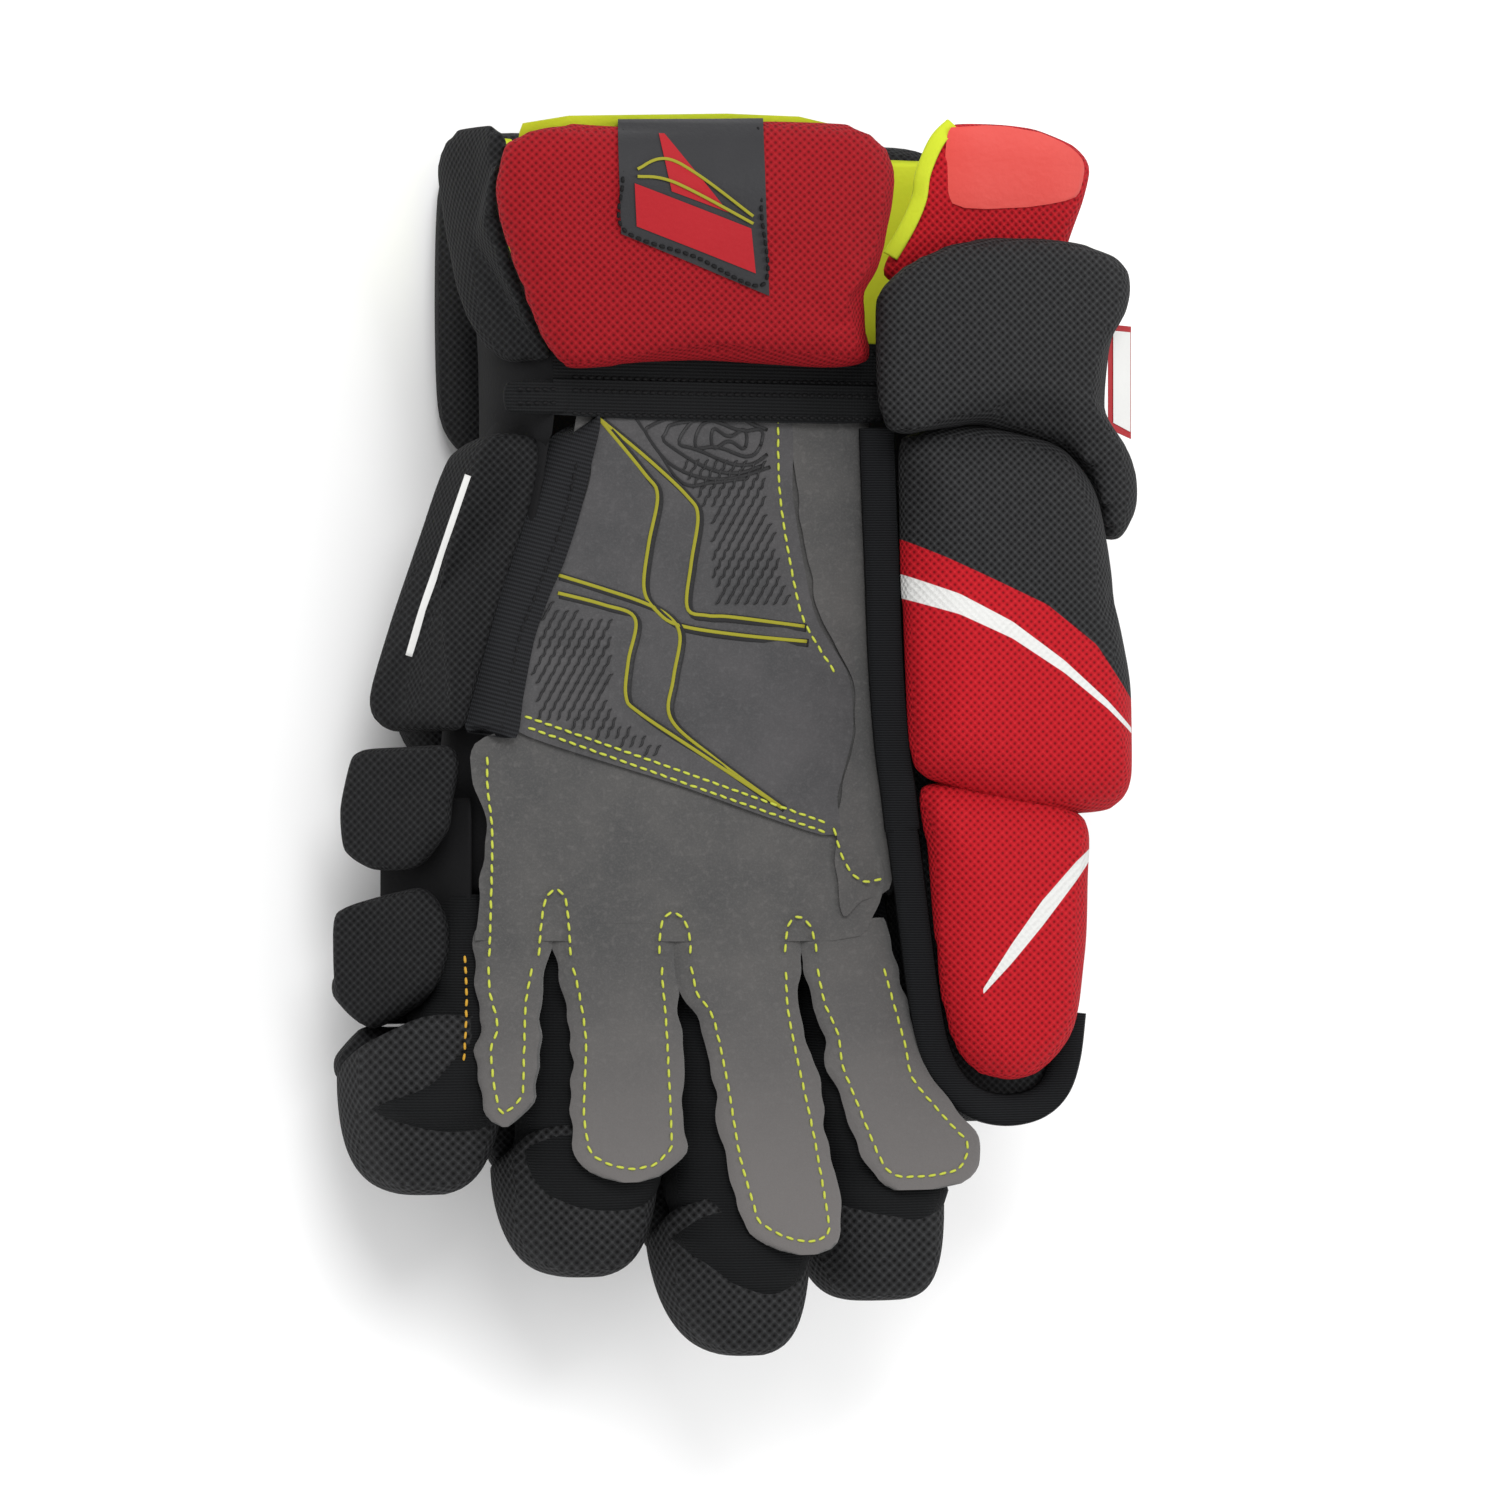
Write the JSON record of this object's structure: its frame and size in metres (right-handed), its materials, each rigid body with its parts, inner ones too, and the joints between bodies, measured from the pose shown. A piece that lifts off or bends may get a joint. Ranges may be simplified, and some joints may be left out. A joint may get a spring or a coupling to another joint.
{
  "type": "ice hockey glove",
  "caption": "Left-hand ice hockey glove with padded back rolls, suede palm, jointed fingers and thumb, and cuff pads that tilt open at the wrist.",
  "frame": {"origin": "under the middle of the glove, at the table it rests on", "axes": "+X toward the thumb side, +Y toward the cuff, +Z out of the palm; the glove lies on its back"},
  "size_m": [0.1969, 0.2788, 0.0909],
  "materials": {
    "palm_suede": "satin",
    "webbing": "matte",
    "black_mesh": "matte",
    "liner_cloth": "matte",
    "red_mesh": "matte",
    "bright_lining": "matte",
    "grey_label": "satin",
    "coral_patch": "satin",
    "white_tag": "matte",
    "lock_plastic": "satin"
  },
  "bodies": {
    "hand": {"palm_panel": "palm_suede", "palm_overlay": "palm_suede", "thumb_side_palm": "palm_suede", "palm_strap": "webbing", "wrist_band_upper": "webbing", "wrist_band_lower": "webbing", "wrist_tab": "webbing", "thumb_binding_hand": "webbing", "ulnar_panel": "black_mesh", "little_side_pad_upper": "black_mesh", "cuff_roll": "black_mesh", "cuff_back_pad": "black_mesh", "backhand_roll_knuckle": "black_mesh", "backhand_roll_middle": "black_mesh", "backhand_roll_wrist": "black_mesh", "thumb_roll": "black_mesh", "ulnar_wall": "liner_cloth", "hand_liner": "liner_cloth", "web_gusset": "liner_cloth", "radial_wall": "liner_cloth", "cuff_radial_wall": "liner_cloth", "cuff_roll_tag": "white_tag"},
    "palm_cuff": {"cuff_palm_pad": "red_mesh", "cuff_palm_lining": "bright_lining", "cuff_label": "grey_label"},
    "outer_cuff": {"cuff_ulnar_pad": "black_mesh"},
    "thumb_cuff_flap": {"cuff_flap": "red_mesh", "cuff_flap_patch": "coral_patch", "cuff_flap_lining": "bright_lining"},
    "thumb": {"thumb_lower_pad": "red_mesh", "thumb_lock": "lock_plastic", "thumb_binding_tip": "webbing", "thumb_sleeve": "liner_cloth", "thumb_grip": "palm_suede", "thumb_tip_cap": "black_mesh"},
    "index": {"index_palm": "palm_suede", "index_sleeve": "liner_cloth", "index_back_roll_1": "black_mesh", "index_back_roll_2": "black_mesh", "index_tip_cap": "black_mesh"},
    "middle": {"middle_palm": "palm_suede", "middle_sleeve": "liner_cloth", "middle_back_roll_1": "black_mesh", "middle_back_roll_2": "black_mesh", "middle_tip_cap": "black_mesh"},
    "ring": {"ring_palm": "palm_suede", "ring_sleeve": "liner_cloth", "ring_back_roll_1": "black_mesh", "ring_back_roll_2": "black_mesh", "ring_tip_cap": "black_mesh"},
    "little": {"little_palm": "palm_suede", "little_sleeve": "liner_cloth", "little_back_roll_1": "black_mesh", "little_back_roll_2": "black_mesh", "little_tip_cap": "black_mesh", "little_side_pad_lower": "black_mesh"}
  },
  "joints": [
    {"name": "index_flex", "type": "hinge", "parent": "hand", "child": "index", "pos_m": [0.024, -0.04138, 0.06], "axis": [-1, 0, 0], "range_deg": [-8, 75]},
    {"name": "middle_flex", "type": "hinge", "parent": "hand", "child": "middle", "pos_m": [-0.0065, -0.04138, 0.06], "axis": [-1, 0, 0], "range_deg": [-8, 75]},
    {"name": "ring_flex", "type": "hinge", "parent": "hand", "child": "ring", "pos_m": [-0.0415, -0.04138, 0.06], "axis": [-1, 0, 0], "range_deg": [-8, 75]},
    {"name": "little_flex", "type": "hinge", "parent": "hand", "child": "little", "pos_m": [-0.077, -0.04138, 0.06], "axis": [-1, 0, 0], "range_deg": [-8, 75]},
    {"name": "thumb_open", "type": "hinge", "parent": "hand", "child": "thumb", "pos_m": [0.077, -0.01938, 0.05], "axis": [0, 0, 1], "range_deg": [0, 25]},
    {"name": "palm_cuff_tilt", "type": "hinge", "parent": "hand", "child": "palm_cuff", "pos_m": [-0.021, 0.08462, 0.062], "axis": [1, 0, 0], "range_deg": [-4, 35]},
    {"name": "outer_cuff_tilt", "type": "hinge", "parent": "hand", "child": "outer_cuff", "pos_m": [-0.056, 0.08362, 0.05], "axis": [0, 0, 1], "range_deg": [0, 30]},
    {"name": "thumb_cuff_flap_tilt", "type": "hinge", "parent": "hand", "child": "thumb_cuff_flap", "pos_m": [0.0577, 0.11262, 0.056], "axis": [0.981, 0, -0.194], "range_deg": [-4, 25]}
  ]
}
